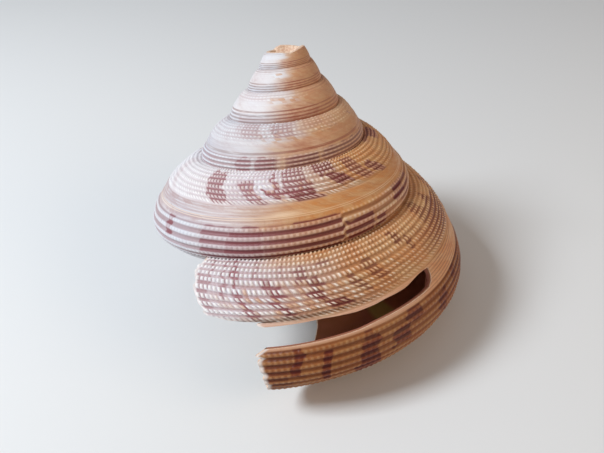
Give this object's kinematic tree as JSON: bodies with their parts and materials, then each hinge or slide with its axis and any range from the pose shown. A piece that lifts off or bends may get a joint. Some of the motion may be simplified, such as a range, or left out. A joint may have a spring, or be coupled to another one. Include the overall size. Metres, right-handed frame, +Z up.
{
  "type": "slit shell",
  "caption": "Top-shaped sea shell with coiled whorls, spiral cords, a long open slit in its last whorl and a broken tip.",
  "frame": {"origin": "centre of the footprint, on the surface that the shell rests on", "axes": "+Z up from the table; -Y towards the side with the slit; +X to the right of someone who faces the slit"},
  "size_m": [0.0696, 0.076, 0.0541],
  "materials": {
    "shell": "satin outside, cream with red-brown bars and flames; pearly inside"
  },
  "bodies": {
    "root": {"shell": "shell"}
  },
  "joints": []
}
